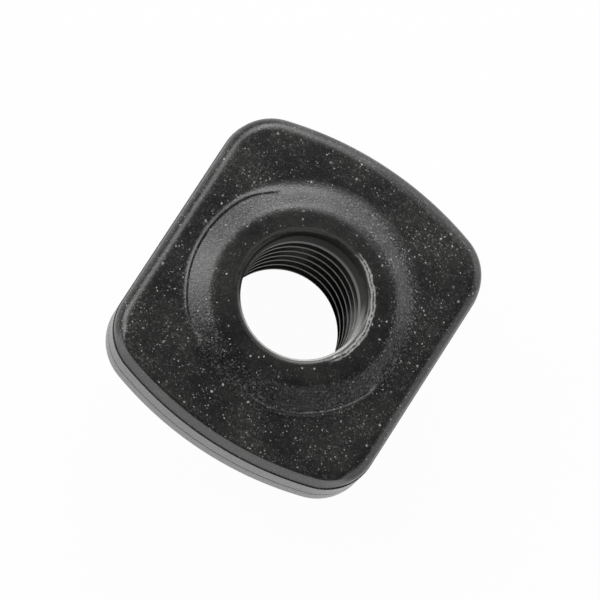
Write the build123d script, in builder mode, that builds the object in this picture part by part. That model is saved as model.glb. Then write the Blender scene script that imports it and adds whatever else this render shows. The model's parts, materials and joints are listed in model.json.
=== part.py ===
from build123d import *
import os

os.makedirs("parts", exist_ok=True)

# A forged nut for a T-slot, in millimetres. It stands on the end of its neck, with the wide face
# of its flange up. X runs across the two straight sides, Y over the two bowed ends, and Z is the
# axis of the M12 thread.

# Flange: the wide head that hooks under the two lips of the slot
flange_width = 24.4  # between the straight sides
flange_length = 27.6  # over the crowns of the bowed ends
end_radius = 30.0  # bow of each end, seen from above
corner_radius = 4.5
flange_thickness = 6.6
face_rounding = 1.3  # all round the wide face
under_rounding = 0.6  # all round the underside

# Parting line: the forging was trimmed below it, and stands out a little there
parting_drop = 1.85  # below the wide face
trim_ledge = 0.08

# Neck: the part that fills the slot's mouth, and whose sides are kept from turning by it
slot_width = 16.0
slot_clearance = 0.1  # on each side of the neck
neck_length = 19.6
neck_end_radius = 26.0
neck_corner_radius = 2.5
neck_height = 6.4
neck_root_rounding = 0.6
neck_edge_chamfer = 0.6

# Boss: a low cone round the bore, with the witness ring that the die's insert left at its foot
boss_radius = 9.4  # at its foot
boss_shoulder_radius = 7.45  # where the cone would meet the flat top
boss_height = 1.05
boss_shoulder_rounding = 2.2
ring_width = 0.8
ring_height = 0.13
ring_crease = 0.16  # width of the inner slope that falls back to the foot of the cone

# Bore: the M12 thread's minor diameter, with its true edges
bore_radius = 5.15
lip_rounding = 0.6  # at the boss
entry_chamfer = 0.5  # at the end of the neck, where the screw goes in

neck_width = slot_width - 2 * slot_clearance
flange_top = neck_height + flange_thickness
parting_height = flange_top - parting_drop
boss_top = flange_top + boss_height
boss_seat = flange_top - face_rounding / 2


def bowed_outline(plan, width, length, bow, corner):
    """Draw a rectangle whose two short ends bow outwards and whose corners are rounded."""
    Rectangle(width, length)
    for side in (1, -1):
        with Locations((0, side * (length / 2 - bow))):
            Circle(bow, mode=Mode.INTERSECT)
    fillet(plan.vertices(), corner)


with BuildPart() as nut_body:
    # Trimmed lower part of the flange, up to the parting line
    with BuildSketch(Plane.XY.offset(neck_height)) as lower_plan:
        bowed_outline(lower_plan, flange_width, flange_length, end_radius, corner_radius)
    extrude(amount=parting_height - neck_height)

    # Upper part of the flange, which keeps the die's own skin and rounding
    with BuildSketch(Plane.XY.offset(parting_height)) as upper_plan:
        bowed_outline(
            upper_plan,
            flange_width - 2 * trim_ledge,
            flange_length - 2 * trim_ledge,
            end_radius - trim_ledge,
            corner_radius - trim_ledge,
        )
    extrude(amount=flange_top - parting_height)
    fillet(nut_body.faces().sort_by(Axis.Z)[-1].edges(), face_rounding)

    # Neck, rooted in the underside
    with BuildSketch(Plane.XY) as neck_plan:
        bowed_outline(neck_plan, neck_width, neck_length, neck_end_radius, neck_corner_radius)
    extrude(amount=neck_height)
    underside = nut_body.faces().filter_by(Axis.Z).sort_by(Axis.Z)[1]
    fillet(underside.outer_wire().edges(), under_rounding)
    underside = nut_body.faces().filter_by(Axis.Z).sort_by(Axis.Z)[1]
    fillet(underside.inner_wires()[0].edges(), neck_root_rounding)
    chamfer(nut_body.faces().sort_by(Axis.Z)[0].edges(), neck_edge_chamfer)

    # Boss and witness ring, turned round the bore's axis
    with BuildSketch(Plane.XZ) as boss_profile:
        with BuildLine():
            foot = (boss_radius, flange_top)
            crest = (boss_radius + ring_crease, flange_top + ring_height)
            fade = (boss_radius + ring_width, flange_top)
            shoulder = (boss_shoulder_radius, boss_top)
            Polyline(fade, (fade[0], boss_seat), (0, boss_seat), (0, boss_top), shoulder, foot, crest)
            TangentArc(fade, crest, tangent=(-1, 0))
        make_face()
        fillet(boss_profile.vertices().sort_by_distance(shoulder)[0], boss_shoulder_rounding)
    revolve(axis=Axis.Z)

    # Bore
    with Locations((0, 0, boss_top)):
        Hole(bore_radius)
    fillet(nut_body.faces().sort_by(Axis.Z)[-1].inner_wires()[0].edges(), lip_rounding)
    chamfer(nut_body.faces().sort_by(Axis.Z)[0].inner_wires()[0].edges(), entry_chamfer)

nut_body.part.label = "nut_body"
export_step(nut_body.part, "parts/nut_body.step")
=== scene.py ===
import bpy
import json
from math import asin, atan2, cos, degrees, hypot, pi, radians, sin, sqrt, tan
from mathutils import Matrix, Vector

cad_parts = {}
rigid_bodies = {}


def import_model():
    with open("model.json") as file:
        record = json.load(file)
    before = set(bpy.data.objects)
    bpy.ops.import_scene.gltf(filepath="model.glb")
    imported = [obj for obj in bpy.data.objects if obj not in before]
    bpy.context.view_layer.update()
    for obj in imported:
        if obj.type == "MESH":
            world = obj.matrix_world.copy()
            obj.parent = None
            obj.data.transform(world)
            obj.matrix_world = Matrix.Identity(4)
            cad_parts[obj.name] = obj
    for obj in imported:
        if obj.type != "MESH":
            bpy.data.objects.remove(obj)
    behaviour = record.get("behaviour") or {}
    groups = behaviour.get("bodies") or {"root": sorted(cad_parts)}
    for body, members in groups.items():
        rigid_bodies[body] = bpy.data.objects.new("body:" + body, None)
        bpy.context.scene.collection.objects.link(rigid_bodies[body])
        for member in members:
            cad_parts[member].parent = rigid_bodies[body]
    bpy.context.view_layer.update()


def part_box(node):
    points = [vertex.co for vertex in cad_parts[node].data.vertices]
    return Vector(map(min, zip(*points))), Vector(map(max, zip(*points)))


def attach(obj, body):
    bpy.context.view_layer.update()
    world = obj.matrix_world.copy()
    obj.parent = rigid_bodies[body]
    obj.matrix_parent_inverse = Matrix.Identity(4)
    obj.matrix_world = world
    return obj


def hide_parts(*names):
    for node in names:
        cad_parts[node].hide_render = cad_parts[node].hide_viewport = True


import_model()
lowCorner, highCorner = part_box("nut_body")
mm = 0.001

# The nut's own sizes, in millimetres. Its outer width, length and height come from the frame.
nutSizes = {
    "endRadius": 30.0,  # bow of each end of the flange
    "cornerRadius": 4.5,
    "flangeThickness": 6.6,
    "faceRounding": 1.3,
    "underRounding": 0.6,
    "partingDrop": 1.85,  # from the wide face down to the parting line
    "trimLedge": 0.08,
    "shearDrop": 4.2,  # from the wide face down to the fine groove in the trimmed wall
    "shearDepth": 0.07,
    "shearHalf": 0.1,  # from the middle of the groove to its edges
    "crispInset": 0.62,  # of the wide face, at the end where the die left a crisp edge
    "crispRounding": 0.18,
    "crispDirections": ((-88, 52, 24),),  # middle, half width and fade, in degrees from +X
    "neckWidth": 15.8,
    "neckLength": 19.6,
    "neckEndRadius": 26.0,
    "neckCornerRadius": 2.5,
    "neckHeight": 6.4,
    "neckRootRounding": 0.6,
    "neckEdgeChamfer": 0.6,
    "bossRadius": 9.4,  # at its foot
    "bossShoulderRadius": 7.45,
    "bossHeight": 1.05,
    "bossShoulderRounding": 2.2,
    "footRounding": 3.0,  # round most of the foot
    "ringWidth": 0.8,  # the witness ring that takes its place in the ring's directions
    "ringSlope": 0.45,  # of that width, taken by the outer slope
    "ringHeight": 0.14,
    "ringCrease": 0.18,
    "ringDirections": ((187, 48, 34), (-50, 36, 24)),
    "boreRadius": 5.15,
    "lipRounding": 0.6,
    "entryChamfer": 0.5,
    "supportLoop": 0.05,  # keeps the shading of a rounding off the flat beside it
}

# Points along one side, one end and one corner of an outline. A whole outline has as many points
# as a turned edge, so the two bridge evenly.
outlineSteps = {"side": 52, "end": 56, "corner": 18}

# Points across a section: its roundings, the parts of the boss, and the loops on flat rings
sectionSteps = {
    "faceRounding": 12,
    "crispSide": 7,  # with its edge, as many as the rounding that it takes the place of
    "crispEdge": 6,
    "smallRounding": 8,
    "lipRounding": 10,
    "foot": 6,
    "cone": 4,
    "shoulder": 8,
    "faceLoops": 10,
    "underLoops": 4,
}
turnedSteps = 2 * (outlineSteps["side"] + outlineSteps["end"]) + 4 * outlineSteps["corner"]

threadSizes = {
    "pitch": 1.75,
    "majorRadius": 6.05,
    "rootFlat": 0.36,
    "flankAngle": 30,
    "overlap": 0.25,  # how far the cutter reaches inside the bore's wall
    "plainLength": 2.6,  # left uncut between the last turn and the top of the boss
    "leadLength": 1.8,  # over which the last turn runs out
    "steps": 144,  # points in a turn
}


def deselectAll():
    for thing in list(bpy.context.selected_objects):
        thing.select_set(False)


def makeActive(piece):
    deselectAll()
    piece.select_set(True)
    bpy.context.view_layer.objects.active = piece


def startPiece(name):
    # a new, empty mesh object in edit mode
    deselectAll()
    bpy.ops.mesh.primitive_plane_add(size=1)
    piece = bpy.context.object
    piece.name = name
    piece.data.name = name
    bpy.ops.object.mode_set(mode="EDIT")
    bpy.ops.mesh.delete(type="VERT")
    return piece


def addPoint(spot):
    # one more loose point in the piece that is being edited
    bpy.ops.mesh.select_mode(type="VERT")
    bpy.ops.mesh.select_all(action="DESELECT")
    bpy.ops.mesh.primitive_plane_add(size=1)
    bpy.ops.mesh.merge(type="CENTER")
    bpy.ops.transform.translate(value=spot)


def drawLine(move, steps=1):
    # run the chosen point on in a straight line
    part = Vector(move) / steps
    for step in range(steps):
        bpy.ops.mesh.extrude_vertices_move(TRANSFORM_OT_translate={"value": part})


def drawArc(centre, turn, steps):
    # run the chosen point on round a centre, anticlockwise from above; spin counts the other way
    bpy.ops.mesh.spin(steps=steps, angle=-turn, center=centre, axis=(0, 0, 1))


def cornerOf(width, length, bow, corner):
    # centre of a corner's rounding, the turn of that rounding, and centre of an end's bow
    bowCentre = length / 2 - bow
    cornerX = width / 2 - corner
    rise = sqrt((bow - corner) ** 2 - cornerX**2)
    return cornerX, bowCentre + rise, atan2(rise, cornerX), bowCentre


def drawOutline(width, length, bow, corner, height):
    # a rectangle with two bowed ends and rounded corners, closed with one face
    cornerX, cornerY, cornerTurn, bowCentre = cornerOf(width, length, bow, corner)
    for side in (1, -1):
        if side == 1:
            addPoint((width / 2, -cornerY, height))
        drawLine((0, side * 2 * cornerY, 0), outlineSteps["side"])
        drawArc((side * cornerX, side * cornerY, height), cornerTurn, outlineSteps["corner"])
        drawArc((0, side * bowCentre, height), pi - 2 * cornerTurn, outlineSteps["end"])
        drawArc((-side * cornerX, side * cornerY, height), cornerTurn, outlineSteps["corner"])
    bpy.ops.mesh.select_linked()
    bpy.ops.mesh.remove_doubles(threshold=0.001)
    bpy.ops.mesh.edge_face_add()
    bpy.ops.mesh.select_mode(type="FACE")


def drawDisc(radius, height):
    bpy.ops.mesh.select_mode(type="FACE")
    bpy.ops.mesh.select_all(action="DESELECT")
    bpy.ops.mesh.primitive_circle_add(
        vertices=turnedSteps, radius=radius, fill_type="NGON", location=(0, 0, height)
    )


def faceTowards(piece, up):
    # turn the chosen face so that its insets rise with up = 1 and sink with up = -1
    piece.update_from_editmode()
    chosen = [face for face in piece.data.polygons if face.select]
    if chosen[0].normal.z * up < 0:
        bpy.ops.mesh.flip_normals()


def insetAlong(section):
    # step the chosen face along (inward, outward along its normal) places of a section
    for (inA, outA), (inB, outB) in zip(section, section[1:]):
        bpy.ops.mesh.inset(
            thickness=inB - inA, depth=outB - outA, use_even_offset=True, use_boundary=True
        )


def roundOver(start, radius, steps):
    # from a wall over to a flat: the section of a rounded outer edge, from start
    turns = [k * pi / 2 / steps for k in range(steps + 1)]
    return [(start[0] + radius * (1 - cos(t)), start[1] + radius * sin(t)) for t in turns]


def roundInto(start, radius, steps):
    # from a flat down into a wall: the section of a rounded mouth or root
    turns = [k * pi / 2 / steps for k in range(steps + 1)]
    return [(start[0] + radius * sin(t), start[1] + radius * (1 - cos(t))) for t in turns]


def between(one, other, share):
    return tuple(a + (b - a) * share for a, b in zip(one, other))


def shareTowards(outward, directions):
    # how far a local shape shows in one direction: 1 in its middle, fading to 0 past its width
    total = 0
    for middle, half, fade in directions:
        away = abs((degrees(atan2(outward.y, outward.x)) - middle + 180) % 360 - 180)
        share = min(max((half - away) / fade + 0.5, 0), 1)
        total += share * share * (3 - 2 * share)
    return min(total, 1)


def reshapeLoops(piece, usual, special, placeOf, directions):
    # move the loops of one section towards another, in some directions only
    bpy.ops.object.mode_set(mode="OBJECT")
    for point in piece.data.vertices:
        inward, outward = placeOf(point.co)
        gaps = [hypot(inward - i, point.co.z - height) for i, height in usual]
        nearest = gaps.index(min(gaps))
        if gaps[nearest] < 0.01:
            share = shareTowards(outward, directions)
            newInward, newHeight = between(usual[nearest], special[nearest], share)
            point.co -= outward * (newInward - usual[nearest][0])
            point.co.z = newHeight
    bpy.ops.object.mode_set(mode="EDIT")


def openEdgesAt(piece, height):
    # choose the edges at one height that have a face on one side only
    bpy.ops.mesh.select_mode(type="EDGE")
    bpy.ops.mesh.select_all(action="DESELECT")
    bpy.ops.mesh.select_non_manifold(extend=False, use_wire=False, use_multi_face=False)
    bpy.ops.object.mode_set(mode="OBJECT")
    points = piece.data.vertices
    for edge in piece.data.edges:
        level = all(abs(points[v].co.z - height) < 0.001 for v in edge.vertices)
        edge.select = edge.select and level
    for point in points:
        point.select = False
    bpy.ops.object.mode_set(mode="EDIT")


def bridgeAt(piece, height, cuts):
    # close the flat ring between the two open loops at one height
    openEdgesAt(piece, height)
    bpy.ops.mesh.bridge_edge_loops(number_cuts=cuts, interpolation="LINEAR")


def flangePlan():
    s = nutSizes
    width = (highCorner.x - lowCorner.x) / mm
    length = (highCorner.y - lowCorner.y) / mm
    return width, length, s["endRadius"], s["cornerRadius"]


def placeOnFlange(spot):
    # how far a point is inside the flange's outline, and which way is out of it
    width, length, bow, corner = flangePlan()
    cornerX, cornerY, cornerTurn, bowCentre = cornerOf(width, length, bow, corner)
    signs = Vector((1 if spot.x > 0 else -1, 1 if spot.y > 0 else -1, 0))
    x, y = abs(spot.x), abs(spot.y)
    if y < cornerY and x > y:
        return width / 2 - x, Vector((signs.x, 0, 0))
    fromCorner = Vector((x - cornerX, y - cornerY, 0))
    if x > cornerX and atan2(fromCorner.y, fromCorner.x) < cornerTurn:
        return corner - fromCorner.length, fromCorner.normalized() * signs
    fromBow = Vector((x, y - bowCentre, 0))
    return bow - fromBow.length, fromBow.normalized() * signs


def softEdge(top):
    # section of the flange's upper edge, from the parting line in to the wide face
    s = nutSizes
    start = (s["trimLedge"], top - s["faceRounding"])
    section = roundOver(start, s["faceRounding"], sectionSteps["faceRounding"])
    return section + [(section[-1][0] + s["supportLoop"], top)]


def crispEdge(top):
    # as many places along a steep side that ends in a crisp edge
    s = nutSizes
    small = s["crispRounding"]
    across = s["crispInset"] - s["trimLedge"]
    drop = s["partingDrop"] - small
    lean = atan2(across, drop) - asin(small / hypot(across, drop))
    sideSteps, edgeSteps = sectionSteps["crispSide"], sectionSteps["crispEdge"]
    turns = [lean + (pi / 2 - lean) * k / edgeSteps for k in range(edgeSteps + 1)]
    edge = [(s["crispInset"] - small * cos(t), top - small + small * sin(t)) for t in turns]
    foot = (s["trimLedge"], top - s["partingDrop"])
    side = [between(foot, edge[0], k / sideSteps) for k in range(1, sideSteps)]
    return side + edge + [(s["crispInset"] + s["supportLoop"], top)]


def makeFlange(nut, top, under):
    s = nutSizes
    waist = under + s["underRounding"]
    drawOutline(*flangePlan(), waist)
    faceTowards(nut, 1)
    ledge, groove, half = top - s["partingDrop"], top - s["shearDrop"], s["shearHalf"]
    wall = [waist, groove - half, groove, groove + half, ledge]
    insetAlong([(0, height) for height in wall] + [(s["trimLedge"], ledge)] + softEdge(top))
    bpy.ops.mesh.delete(type="ONLY_FACE")
    reshapeLoops(nut, softEdge(top), crispEdge(top), placeOnFlange, s["crispDirections"])

    openEdgesAt(nut, waist)
    bpy.ops.mesh.edge_face_add()
    bpy.ops.mesh.select_mode(type="FACE")
    faceTowards(nut, -1)
    section = roundOver((0, 0), s["underRounding"], sectionSteps["smallRounding"])
    insetAlong(section + [(section[-1][0] + s["supportLoop"], section[-1][1])])
    bpy.ops.mesh.delete(type="ONLY_FACE")


def makeNeck(nut, under):
    s = nutSizes
    out = s["neckRootRounding"] + s["supportLoop"]
    width, length = s["neckWidth"] + 2 * out, s["neckLength"] + 2 * out
    drawOutline(width, length, s["neckEndRadius"] + out, s["neckCornerRadius"] + out, under)
    faceTowards(nut, -1)
    root = (s["supportLoop"], 0)
    section = [(0, 0)] + roundInto(root, s["neckRootRounding"], sectionSteps["smallRounding"])
    section += [(out, under - s["neckEdgeChamfer"]), (out + s["neckEdgeChamfer"], under)]
    insetAlong(section)
    bpy.ops.mesh.delete(type="ONLY_FACE")


def placeOnBoss(spot):
    start = nutSizes["bossRadius"] + nutSizes["ringWidth"]
    return start - hypot(spot.x, spot.y), Vector((spot.x, spot.y, 0)).normalized()


def bossSection(top, ringed):
    # from the wide face inwards: foot or witness ring, cone, shoulder, flat top and lip
    s = nutSizes
    foot, height = s["ringWidth"], s["bossHeight"]
    footSteps, coneSteps, shoulderSteps = (sectionSteps[n] for n in ("foot", "cone", "shoulder"))
    slope = atan2(height, s["bossRadius"] - s["bossShoulderRadius"])
    section = [(0, top)]
    if ringed:
        run = s["ringSlope"]
        start = foot - s["ringCrease"] - run
        fade = (run**2 + s["ringHeight"] ** 2) / (2 * s["ringHeight"])
        for k in range(1, footSteps + 1):
            inward = run * k / footSteps
            section += [(start + inward, top + fade - sqrt(fade**2 - inward**2))]
        section += [(foot, top)]
    else:
        radius = s["footRounding"]
        reach = radius * tan(slope / 2)
        for k in range(footSteps + 1):
            turn = slope * k / footSteps
            section += [(foot - reach + radius * sin(turn), top + radius * (1 - cos(turn)))]

    radius = s["bossShoulderRounding"]
    shoulder = s["bossRadius"] - s["bossShoulderRadius"] + foot
    reach = radius * tan(slope / 2)
    coneEnd = (shoulder - reach * cos(slope), top + height - reach * sin(slope))
    coneStart = section[-1]
    section += [between(coneStart, coneEnd, k / coneSteps) for k in range(1, coneSteps + 1)]
    for k in range(1, shoulderSteps + 1):
        turn = slope * (1 - k / shoulderSteps)
        section += [
            (shoulder + reach - radius * sin(turn), top + height - radius * (1 - cos(turn)))
        ]

    lip = s["bossRadius"] + foot - s["boreRadius"] - s["lipRounding"]
    section += [(lip - s["supportLoop"], top + height)]
    mouth = roundInto((lip, 0), s["lipRounding"], sectionSteps["lipRounding"])
    return section + [(inward, top + height - drop) for inward, drop in mouth]


def makeBoss(nut, top):
    s = nutSizes
    drawDisc(s["bossRadius"] + s["ringWidth"], top)
    faceTowards(nut, 1)
    section = bossSection(top, False)
    wall = section[-1][0]
    insetAlong(section + [(wall, height) for height in (top - 1, top - 5, s["entryChamfer"])])
    bpy.ops.mesh.delete(type="ONLY_FACE")
    ringed = bossSection(top, True)
    reshapeLoops(nut, section, ringed, placeOnBoss, s["ringDirections"])

    drawDisc(s["boreRadius"] + s["entryChamfer"], 0)
    faceTowards(nut, -1)
    insetAlong([(0, 0), (s["entryChamfer"], -s["entryChamfer"])])
    bpy.ops.mesh.delete(type="ONLY_FACE")


def makeShearLine(nut, top):
    # draw the middle one of three close loops in, for the fine groove in the trimmed wall
    height = top - nutSizes["shearDrop"]
    bpy.ops.object.mode_set(mode="OBJECT")
    for point in nut.data.vertices:
        onWall = placeOnFlange(point.co)[0] < 0.01
        if onWall and abs(point.co.z - height) < 0.02:
            point.co -= placeOnFlange(point.co)[1] * nutSizes["shearDepth"]
    bpy.ops.object.mode_set(mode="EDIT")


def makeTap(bossTop):
    # the cutter for the thread: one tooth, drawn as a face and wound up the bore
    s = threadSizes
    inner = nutSizes["boreRadius"] - s["overlap"]
    rootHalf = s["rootFlat"] / 2
    innerHalf = rootHalf + (s["majorRadius"] - inner) * tan(radians(s["flankAngle"]))
    endHeight = bossTop - s["plainLength"]
    turns = int(endHeight / s["pitch"]) + 2
    startHeight = endHeight - turns * s["pitch"]

    tap = startPiece("tap")
    addPoint((inner, 0, startHeight - innerHalf))
    drawLine((s["majorRadius"] - inner, 0, innerHalf - rootHalf))
    drawLine((0, 0, 2 * rootHalf))
    drawLine((inner - s["majorRadius"], 0, innerHalf - rootHalf))
    bpy.ops.mesh.select_all(action="SELECT")
    bpy.ops.mesh.edge_face_add()
    bpy.ops.object.mode_set(mode="OBJECT")

    winding = tap.modifiers.new("winding", "SCREW")
    winding.axis = "Z"
    winding.angle = 2 * pi
    winding.screw_offset = s["pitch"]
    winding.iterations = turns
    winding.steps = winding.render_steps = s["steps"]
    bpy.ops.object.modifier_apply(modifier=winding.name)

    bpy.ops.object.mode_set(mode="EDIT")
    bpy.ops.mesh.select_all(action="SELECT")
    bpy.ops.mesh.remove_doubles(threshold=0.0001)
    bpy.ops.mesh.fill_holes(sides=4)
    bpy.ops.mesh.select_all(action="SELECT")
    bpy.ops.mesh.normals_make_consistent(inside=False)
    bpy.ops.object.mode_set(mode="OBJECT")

    # the tooth gets shallower over its last turn
    for point in tap.data.vertices:
        radius = hypot(point.co.x, point.co.y)
        left = (endHeight - point.co.z) / s["leadLength"]
        limit = inner + (s["majorRadius"] - inner) * max(left, 0.02)
        if radius > limit:
            point.co.x *= limit / radius
            point.co.y *= limit / radius
    return tap


def makeNut():
    s = nutSizes
    under = s["neckHeight"]
    top = under + s["flangeThickness"]
    nut = startPiece("nut")
    makeFlange(nut, top, under)
    makeNeck(nut, under)
    makeBoss(nut, top)
    bridgeAt(nut, top, sectionSteps["faceLoops"])
    for height in (under, 0):
        bridgeAt(nut, height, sectionSteps["underLoops"])
    makeShearLine(nut, top)
    bpy.ops.mesh.select_mode(type="VERT")
    bpy.ops.mesh.select_all(action="SELECT")
    bpy.ops.mesh.remove_doubles(threshold=0.0005)
    bpy.ops.mesh.normals_make_consistent(inside=False)
    bpy.ops.object.mode_set(mode="OBJECT")
    print("nut body done:", len(nut.data.vertices), "points")

    tap = makeTap(top + s["bossHeight"])
    makeActive(nut)
    tapping = nut.modifiers.new("tapping", "BOOLEAN")
    tapping.operation = "DIFFERENCE"
    tapping.solver = "EXACT"
    tapping.object = tap
    bpy.ops.object.modifier_apply(modifier=tapping.name)
    bpy.data.objects.remove(tap)
    print("thread cut:", len(nut.data.vertices), "points")

    nut.scale = (mm, mm, mm)
    bpy.ops.object.transform_apply(location=False, rotation=False, scale=True)
    bpy.ops.object.shade_smooth_by_angle(angle=radians(16))
    return nut


class Signal:
    # one output of a material's node, so that maths on it reads as an expression
    def __init__(self, finish, node, output):
        self.finish = finish
        self.node = node
        self.output = output

    def maths(self, operation, *inputs):
        return self.finish.add("ShaderNodeMath", {"operation": operation}, dict(enumerate(inputs)))

    def __add__(self, other):
        return self.maths("ADD", self, other)

    def __radd__(self, other):
        return self.maths("ADD", other, self)

    def __sub__(self, other):
        return self.maths("SUBTRACT", self, other)

    def __rsub__(self, other):
        return self.maths("SUBTRACT", other, self)

    def __mul__(self, other):
        return self.maths("MULTIPLY", self, other)

    def __rmul__(self, other):
        return self.maths("MULTIPLY", other, self)

    def root(self):
        return self.maths("SQRT", self)

    def larger(self, other):
        return self.maths("MAXIMUM", self, other)

    def capped(self):
        return self.maths("MINIMUM", self, 1.0)

    def over(self, edge, blur):
        # 0 below the edge and 1 above it, blurred over a width
        sockets = {"Value": self, "From Min": edge - blur / 2, "From Max": edge + blur / 2}
        return self.finish.add("ShaderNodeMapRange", {"clamp": True}, sockets)

    def under(self, edge, blur):
        return 1 - self.over(edge, blur)

    def near(self, middle, half, blur):
        # 1 within half a width of the middle
        return self.over(middle - half, blur) * self.under(middle + half, blur)


class Finish:
    def __init__(self, name):
        self.material = bpy.data.materials.new(name)
        self.material.use_nodes = True
        self.tree = self.material.node_tree
        self.tree.nodes.clear()

    def add(self, kind, settings=None, sockets=None, output=0):
        # a node of any type: its settings first, then the values or links of its sockets
        node = self.tree.nodes.new(kind)
        for name, value in (settings or {}).items():
            setattr(node, name, value)
        for name, value in (sockets or {}).items():
            if isinstance(value, Signal):
                self.tree.links.new(value.node.outputs[value.output], node.inputs[name])
            else:
                node.inputs[name].default_value = value
        return Signal(self, node, output)

    def noise(self, place, scale, detail=2.0, roughness=0.5, output=0):
        sockets = {"Vector": place, "Scale": scale, "Detail": detail, "Roughness": roughness}
        return self.add("ShaderNodeTexNoise", None, sockets, output)

    def blend(self, mask, under, over):
        # two colours, mixed by a mask
        sockets = {0: mask, 6: under, 7: over}
        return self.add("ShaderNodeMix", {"data_type": "RGBA"}, sockets, output=2)

    def bump(self, height, distance, strength, normal=None):
        sockets = {"Height": height, "Distance": distance, "Strength": strength}
        if normal:
            sockets["Normal"] = normal
        return self.add("ShaderNodeBump", None, sockets)

    def part(self, vector, axis):
        return self.add("ShaderNodeSeparateXYZ", None, {0: vector}, output=axis)


steelValues = {
    "oxide": (0.012, 0.0125, 0.0125, 1),
    "oxideFaded": (0.030, 0.030, 0.028, 1),
    # the colour of dust, and of the painted glints in the dust film on the cone
    "dustAndGlint": (0.50, 0.51, 0.50, 1),
    "trimmedSteel": (0.10, 0.10, 0.095, 1),
    "roughness": 0.27,
    "grainScale": 6.0,  # in a millimetre
    "grainDepth": 0.020,  # in millimetres, as the two depths below
    "mottleDepth": 0.05,
    "dustDepth": 0.04,
    # bands: middle, half width and blur in millimetres
    # the dust film's extra cover on the cone is painted glints
    "cone": (8.5, 1.1, 0.8),  # from the axis, where the grain and the dust show most
    "trimmedWall": (0.2, 2.2, 0.05),  # up from the middle of the wall under the parting line
    "wallStretch": (0.25, 0.25, 2.6),  # draws the wall's stains out sideways
}

dustValues = {
    "ragged": 0.16,  # how far a speck's edge strays, in millimetres
    "raggedScale": 6.0,
    # layers: cells in a millimetre, share of them with a speck, radius in millimetres
    "layers": ((2.0, 0.11, 0.11), (3.2, 0.28, 0.08), (5.5, 0.42, 0.05)),
    "filmScale": 5.5,
    "filmShare": 0.20,
}

lipValues = {
    # worn bare steel, also the colour of the painted highlight on the near rim
    "bareSteelAndGlint": (0.78, 0.78, 0.76, 1),
    "matteTone": (0.060, 0.058, 0.051, 1),
    "waves": 0.4,  # how far the worn lines stray, in millimetres
    # bands round the bore: distance out from its wall, half width and blur in millimetres
    "rubbedRim": (0.05, 0.05, 0.05),
    # painted highlight: a thin bright line along the near rim
    "nearRimGlint": (0.12, 0.10, 0.08),
    "innerLine": (0.50, 0.06, 0.08),
    "outerLine": (0.75, 0.04, 0.08),
    "crumbs": (0.64, 0.2, 0.1),
    "fuzzyBand": (0.52, 0.12, 0.2),
}

boreValues = {
    # painted shade: the matte dark colour of the far wall of the plain bore
    "paintedShade": (0.040, 0.039, 0.035, 1),
    "threadGrime": (0.10, 0.097, 0.085, 1),
    "threadDrop": 1.5,  # from the wide face down to where the thread's grime starts
    "paintedShadeCover": 0.9,
    "grimeCover": 0.6,
}


def addDustAndGlint(f, place, thick, cone):
    # a speck in some cells of each layer, more of them where the dust lies thick
    s = dustValues
    stir = f.noise(place, s["raggedScale"], 2.0, output="Color")
    shift = {0: stir, 1: (s["ragged"],) * 3, 2: place}
    ragged = f.add("ShaderNodeVectorMath", {"operation": "MULTIPLY_ADD"}, shift)
    dustAndGlint = 0
    for scale, share, size in s["layers"]:
        cells = {"Vector": ragged, "Scale": scale}
        away = f.add("ShaderNodeTexVoronoi", None, cells, output="Distance")
        pick = f.add("ShaderNodeTexVoronoi", None, cells, output="Color")
        shown = f.part(pick, "X").under(thick * share, 0.01)
        away = away * (0.7 + f.part(pick, "Z") * 1.3)
        speck = away.under(size * scale * 0.75, size * scale * 0.5)
        dustAndGlint = speck * shown * (0.2 + 0.8 * f.part(pick, "Y")) + dustAndGlint

    # a thin film of finer dust lies under the specks; its extra cover on the cone is painted
    # glints of the grain
    filmAndGlint = f.noise(place, s["filmScale"], 3.0, 0.75) + thick * 0.10 + cone * 0.05
    return (dustAndGlint + filmAndGlint.over(0.74, 0.2) * (s["filmShare"] + cone * 0.12)).capped()


def boreBand(distance, name):
    middle, half, blur = lipValues[name]
    return distance.near(nutSizes["boreRadius"] + middle, half, blur)


def wornLip(f, place, spot, top, mottle):
    # masks of the bare steel on the lip, with a painted highlight along its near rim, and of the
    # fuzzy, paler band beside it
    x, y, z, radius = spot
    lipTop = z.over(top + 0.3, 0.2)
    rimTop = z.over(top, 0.3)

    # rubbed on the side towards +X, in wavy lines with crumbs between them
    wavy = radius + (f.noise(place, 0.9, 3.0, 0.6) - 0.5) * lipValues["waves"]
    crumbs = f.noise(place, 4.0, 3.0, 0.7).over(0.53, 0.1)
    lines = boreBand(wavy, "innerLine").larger(boreBand(wavy, "outerLine"))
    lines = lines.larger(boreBand(wavy, "crumbs") * crumbs)
    rubbedSide = (x * 0.956 + y * 0.29 + mottle * 3).over(5.4, 1.5)
    rim = boreBand(radius, "rubbedRim") * rimTop * 0.7
    rubbedAndGlint = lines.larger(rim) * rubbedSide * lipTop * 0.65

    # a painted highlight: one thin smooth line of bare-steel colour on the side towards -Y
    nearSideGlint = (x * 0.4 - y * 0.9 + mottle * 2).over(3.0, 3.0)
    rubbedAndGlint = rubbedAndGlint.larger(boreBand(radius, "nearRimGlint") * rimTop * nearSideGlint * 0.85)

    farSide = (y * 0.2 - x * 0.05 + mottle).over(0.6, 0.6)
    return rubbedAndGlint, boreBand(wavy, "fuzzyBand") * lipTop * farSide


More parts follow.
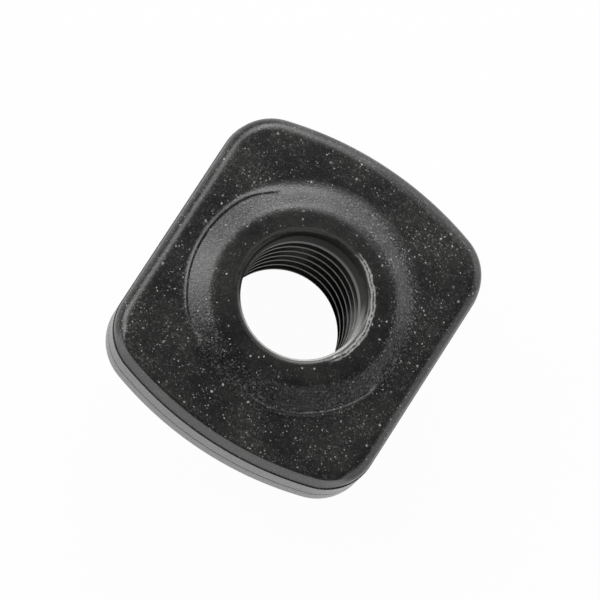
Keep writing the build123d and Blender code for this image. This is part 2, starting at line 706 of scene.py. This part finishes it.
def addBoreShadeAndGrime(f, spot, top, shader):
    # the thread is dull with grime; the far side of the plain bore above it is made dull and dark
    # too, as painted shade
    s = boreValues
    x, y, z, radius = spot
    bore = nutSizes["boreRadius"]
    plain = z.over(top - s["threadDrop"], 0.3)
    # painted shade covers the far wall of the plain bore, and grime covers the thread
    farSide = (y * 0.92 - x * 0.39).over(-0.6, 2.5)
    shadeAndGrime = plain * farSide * radius.under(bore + 0.25, 0.3) * s["paintedShadeCover"]
    shadeAndGrime = shadeAndGrime + (1 - plain) * radius.under(bore + 1.2, 0.1) * s["grimeCover"]
    # the painted shade colour in the plain bore, the grime colour on the thread
    matteTone = f.blend(plain, s["threadGrime"], s["paintedShade"])
    matte = {"Base Color": matteTone, "Roughness": 0.8, "Specular IOR Level": 0.0}
    matteShadeAndGrime = f.add("ShaderNodeBsdfPrincipled", None, matte)
    return f.add("ShaderNodeMixShader", None, {0: shadeAndGrime, 1: shader, 2: matteShadeAndGrime})


def blackenedSteel():
    f = Finish("blackened_steel")
    s = nutSizes
    values = steelValues
    bore = s["boreRadius"]
    top = s["neckHeight"] + s["flangeThickness"]

    coordinates = f.add("ShaderNodeTexCoord", output="Object")
    scaling = {0: coordinates, "Scale": 1 / mm}
    place = f.add("ShaderNodeVectorMath", {"operation": "SCALE"}, scaling)
    x, y, z = (f.part(place, axis) for axis in "XYZ")
    radius = (x * x + y * y).root()
    spot = (x, y, z, radius)

    clouds = f.noise(place, 0.25, 2.0)
    clumps = f.noise(place, 0.9, 2.0)
    mottle = f.noise(place, 1.6, 4.0, 0.6)
    grain = f.noise(place, values["grainScale"], 1.5, 0.6)

    # bare steel on the lip, with a painted highlight along its near rim, and a little on the
    # crests of the thread
    rubbedAndGlint, fuzz = wornLip(f, place, spot, top, mottle)
    crests = radius.under(bore + 0.06, 0.03) * z.under(top - 1.4, 0.2)
    bareAndGlint = rubbedAndGlint.larger(crests * 0.15)

    # the wall that was trimmed after forging
    up, half, blur = values["trimmedWall"]
    trimmed = z.near((s["neckHeight"] + top - s["partingDrop"]) / 2 + up, half, blur)
    trimmed = trimmed * radius.over(9.0, 0.4)
    stretch = {"Vector": place, "Scale": values["wallStretch"]}
    stains = f.noise(f.add("ShaderNodeMapping", None, stretch), 1.2, 3.0, 0.6)

    lip = radius.under(bore + 0.8, 0.2)
    spared = (radius.under(s["bossShoulderRadius"], 1.2) * 0.5 + trimmed * 0.8).capped()
    thick = (clouds * 1.3 + clumps * 1.5 - 0.5) * (1 - spared) * (1 - lip)
    cone = radius.near(*values["cone"])
    dustAndGlint = addDustAndGlint(f, place, thick, cone)

    faded = (mottle * 0.5 + clouds * 0.7).over(0.62, 0.3)
    colour = f.blend(faded, values["oxide"], values["oxideFaded"])
    colour = f.blend(trimmed * (stains * 1.6 - 0.1).capped(), colour, values["trimmedSteel"])
    colour = f.blend(fuzz, colour, lipValues["matteTone"])
    # bare steel, and the painted highlight on the near rim
    colour = f.blend(bareAndGlint, colour, lipValues["bareSteelAndGlint"])
    # dust, with painted glints in its film on the cone
    colour = f.blend(dustAndGlint, colour, values["dustAndGlint"])

    # smoother round the bore, and rougher under the dust
    collar = radius.under(s["bossShoulderRadius"] - 0.1, 0.8) * radius.over(bore, 0.1)
    turned = radius.under(bore + 0.9, 0.1) * z.under(top, 0.2)
    smooth = collar * 0.6 + turned * 0.8
    roughness = values["roughness"] + grain * 0.14 - 0.07 - bareAndGlint * 0.1 - turned * 0.08 + dustAndGlint * 0.3
    coarse = grain * (1 - smooth.capped()) * (0.6 + cone)
    relief = f.bump(coarse, values["grainDepth"] * mm, 1.0)
    relief = f.bump(mottle, values["mottleDepth"] * mm, 0.4, relief)
    relief = f.bump(dustAndGlint, values["dustDepth"] * mm, 0.6, relief)

    sockets = {"Base Color": colour, "Roughness": roughness, "Metallic": bareAndGlint * 0.3}
    steel = f.add("ShaderNodeBsdfPrincipled", None, sockets | {"Normal": relief})
    # grime on the thread, and painted shade on the far wall of the bore
    surface = addBoreShadeAndGrime(f, spot, top, steel)
    f.add("ShaderNodeOutputMaterial", None, {"Surface": surface})
    return f.material


studioValues = {
    "floorSize": 3.0,
    "floorGlow": 0.97,
    "floorPaint": (0.8, 0.8, 0.8, 1),
    "worldStrength": 0.02,
    "lampDistance": 0.45,
    # rows of softboxes: elevation, azimuths in degrees, size of each in metres, power in watts
    "softboxRows": {
        "bank": (34, (110, 130, 170, 190), 0.22, 0.63),
        "low": (12, (0, 50, 90), 0.30, 0.50),
        "fill": (52, (90, 315), 0.17, 0.13),
    },
}


def makeFloor():
    bpy.ops.mesh.primitive_plane_add(size=studioValues["floorSize"], location=(0, 0, lowCorner.z))
    floor = bpy.context.object
    floor.name = "floor"
    f = Finish("floor_white")
    rays = ("Is Camera Ray", "Is Glossy Ray", "Is Transmission Ray")
    camera, glossy, through = (f.add("ShaderNodeLightPath", output=ray) for ray in rays)
    seen = (camera + glossy + through).capped() * studioValues["floorGlow"]
    paint = f.add("ShaderNodeBsdfDiffuse", None, {"Color": studioValues["floorPaint"]})
    glow = f.add("ShaderNodeEmission", None, {"Color": (1, 1, 1, 1), "Strength": 1.0})
    mixed = f.add("ShaderNodeMixShader", None, {0: seen, 1: paint, 2: glow})
    f.add("ShaderNodeOutputMaterial", None, {"Surface": mixed})
    floor.data.materials.append(f.material)


def lookFrom(place, target):
    # a turn that points an object's -Z from its place to a target
    return (Vector(target) - Vector(place)).to_track_quat("-Z", "Y").to_euler()


def directionOf(elevation, azimuth):
    # unit vector towards a place given in degrees, with the azimuth counted from +X
    rise, turn = radians(elevation), radians(azimuth)
    return Vector((cos(rise) * cos(turn), cos(rise) * sin(turn), sin(rise)))


def makeLights(target):
    s = studioValues
    world = bpy.data.worlds.new("studio")
    bpy.context.scene.world = world
    world.use_nodes = True
    background = world.node_tree.nodes["Background"]
    background.inputs["Color"].default_value = (1, 1, 1, 1)
    background.inputs["Strength"].default_value = s["worldStrength"]
    for row, (elevation, azimuths, size, power) in s["softboxRows"].items():
        for azimuth in azimuths:
            place = target + directionOf(elevation, azimuth) * s["lampDistance"]
            turn = lookFrom(place, target)
            bpy.ops.object.light_add(type="AREA", location=place, rotation=turn)
            lamp = bpy.context.object
            lamp.name = f"{row}_softbox_{azimuth}"
            lamp.data.size = size
            lamp.data.energy = power


cameraValues = {
    "elevation": 74.6,
    "azimuth": -96.44,  # from +X, as the camera stands
    "roll": 39.58,
    "distance": 0.45,
    "viewWidth": 0.04904,  # across the view at the target
    "sensorWidth": 36,  # in millimetres
    "shiftRight": 0.00014,  # of the target in the view
    "shiftUp": 0.00009,
}


def makeCamera(target):
    s = cameraValues
    roll = radians(s["roll"])
    back = directionOf(s["elevation"], s["azimuth"])
    level = directionOf(0, s["azimuth"] + 90)
    upright = back.cross(level)
    right = cos(roll) * level + sin(roll) * upright
    up = cos(roll) * upright - sin(roll) * level
    aim = target - s["shiftRight"] * right - s["shiftUp"] * up
    bpy.ops.object.camera_add()
    camera = bpy.context.object
    turn = Matrix((right, up, back)).transposed().to_4x4()
    camera.matrix_world = Matrix.Translation(aim + back * s["distance"]) @ turn
    camera.data.sensor_width = s["sensorWidth"]
    camera.data.lens = s["sensorWidth"] * s["distance"] / s["viewWidth"]
    camera.data.clip_start = 0.01
    bpy.context.scene.camera = camera


target = Vector((0, 0, (nutSizes["neckHeight"] + nutSizes["flangeThickness"]) * mm))
nut = makeNut()
nut.data.materials.append(blackenedSteel())
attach(nut, "root")
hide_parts("nut_body")
makeFloor()
makeLights(target)
makeCamera(target)
bpy.context.scene.view_settings.view_transform = "Standard"
print("nut dressed and lit")
